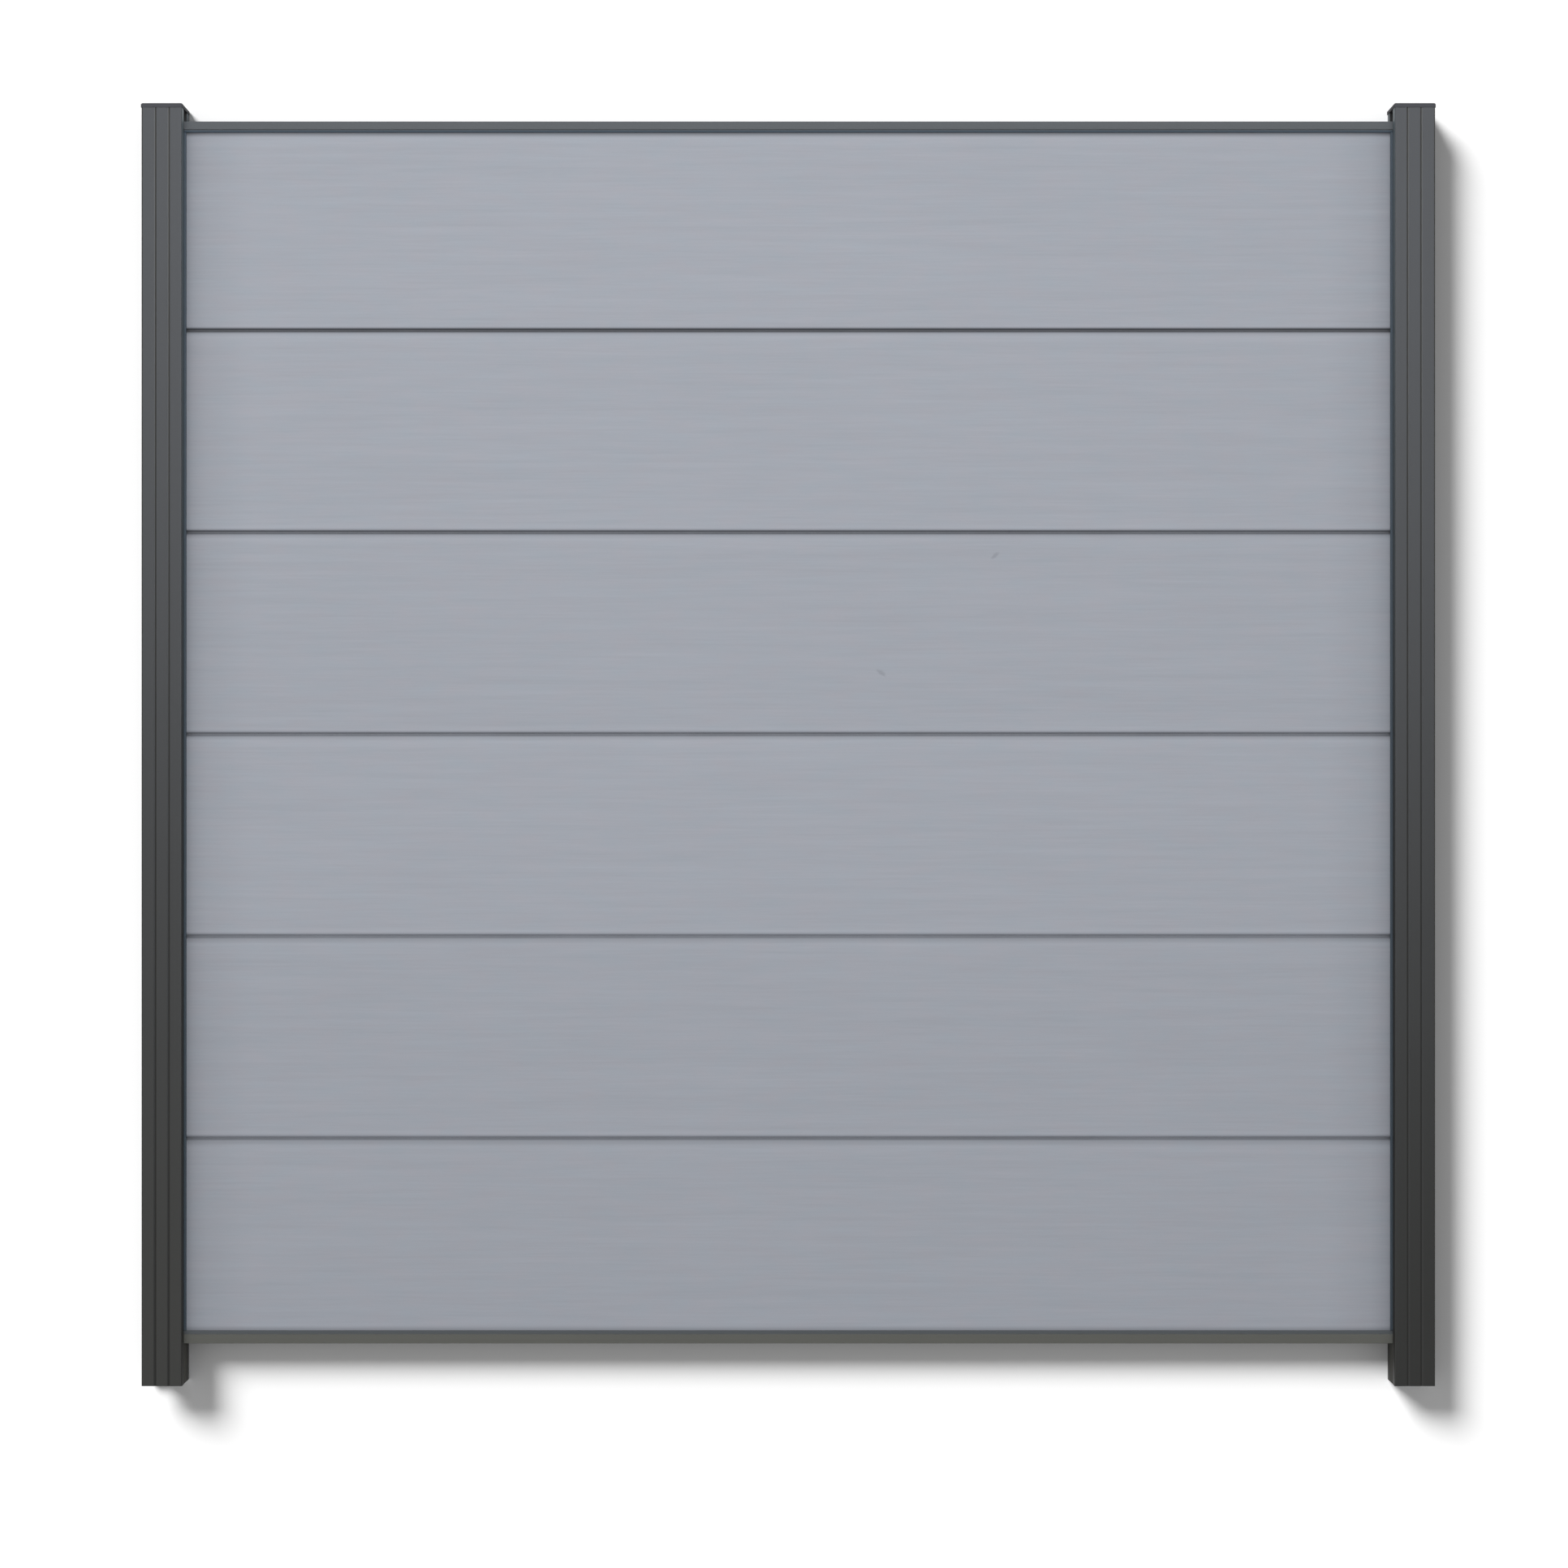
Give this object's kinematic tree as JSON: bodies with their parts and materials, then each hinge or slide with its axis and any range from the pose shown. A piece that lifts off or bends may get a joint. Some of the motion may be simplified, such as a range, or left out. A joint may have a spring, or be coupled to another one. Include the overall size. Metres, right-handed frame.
{
  "type": "composite fence panel",
  "caption": "Fence bay lying flat: hollow composite boards stacked tongue in groove between slotted aluminium posts, with channel rails at head and foot.",
  "frame": {"origin": "centre of the footprint, on the surface that the panel lies on", "axes": "+X runs across the bay to the right, +Y up the fence towards the caps, +Z out of the front face, upwards as the panel lies on its back"},
  "size_m": [1.916, 1.898, 0.062],
  "materials": {
    "post_coating": "anthracite powder coat on extruded aluminium, satin",
    "rail_coating": "anthracite powder coat on extruded aluminium, satin",
    "cap_plastic": "moulded anthracite plastic, fine matt grain",
    "composite": "light grey wood-plastic composite, faintly brushed along its length"
  },
  "bodies": {
    "root": {"left_post": "post_coating", "right_post": "post_coating", "left_post_cap": "cap_plastic", "right_post_cap": "cap_plastic", "top_rail": "rail_coating", "bottom_rail": "rail_coating", "board_1": "composite", "board_2": "composite", "board_3": "composite", "board_4": "composite", "board_5": "composite", "board_6": "composite"}
  },
  "joints": []
}
